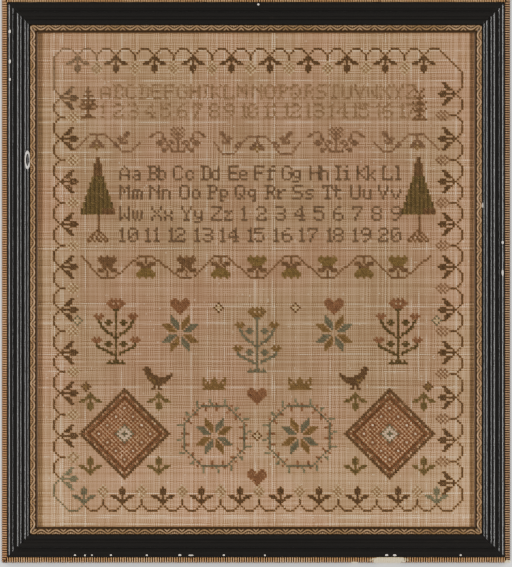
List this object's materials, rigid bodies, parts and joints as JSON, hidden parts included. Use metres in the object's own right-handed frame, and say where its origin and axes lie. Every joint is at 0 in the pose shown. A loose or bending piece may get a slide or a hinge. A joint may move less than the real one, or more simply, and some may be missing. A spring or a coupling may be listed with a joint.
{
  "type": "framed cross stitch sampler, linen cloth with its wooden frame",
  "caption": "Stitched linen sampler cloth stretched flat on a thin board, in a mitred frame with black reeded rails, a gilt slip and a gilt edge strip.",
  "frame": {"origin": "on the resting plane, at the back of the rails, under the middle of the frame", "axes": "+Z out of the stitched face, +Y towards the top of the work, +X to the right as the work is read"},
  "size_m": [0.4444, 0.4944, 0.0179],
  "materials": {
    "linen": "aged plain-weave linen with cross stitch threads",
    "pine": "aged bare pine",
    "black_lacquer": "black polished, worn on the reeds",
    "gilt": "gilded gesso on wood, rubbed and dulled"
  },
  "bodies": {
    "root": {"linen_cloth": "linen", "backing_board": "pine", "black_rail_bottom": "black_lacquer", "black_rail_right": "black_lacquer", "black_rail_top": "black_lacquer", "black_rail_left": "black_lacquer", "gilt_slip_bottom": "gilt", "gilt_slip_right": "gilt", "gilt_slip_top": "gilt", "gilt_slip_left": "gilt", "gilt_edge_bottom": "gilt", "gilt_edge_right": "gilt", "gilt_edge_top": "gilt", "gilt_edge_left": "gilt"}
  },
  "joints": []
}
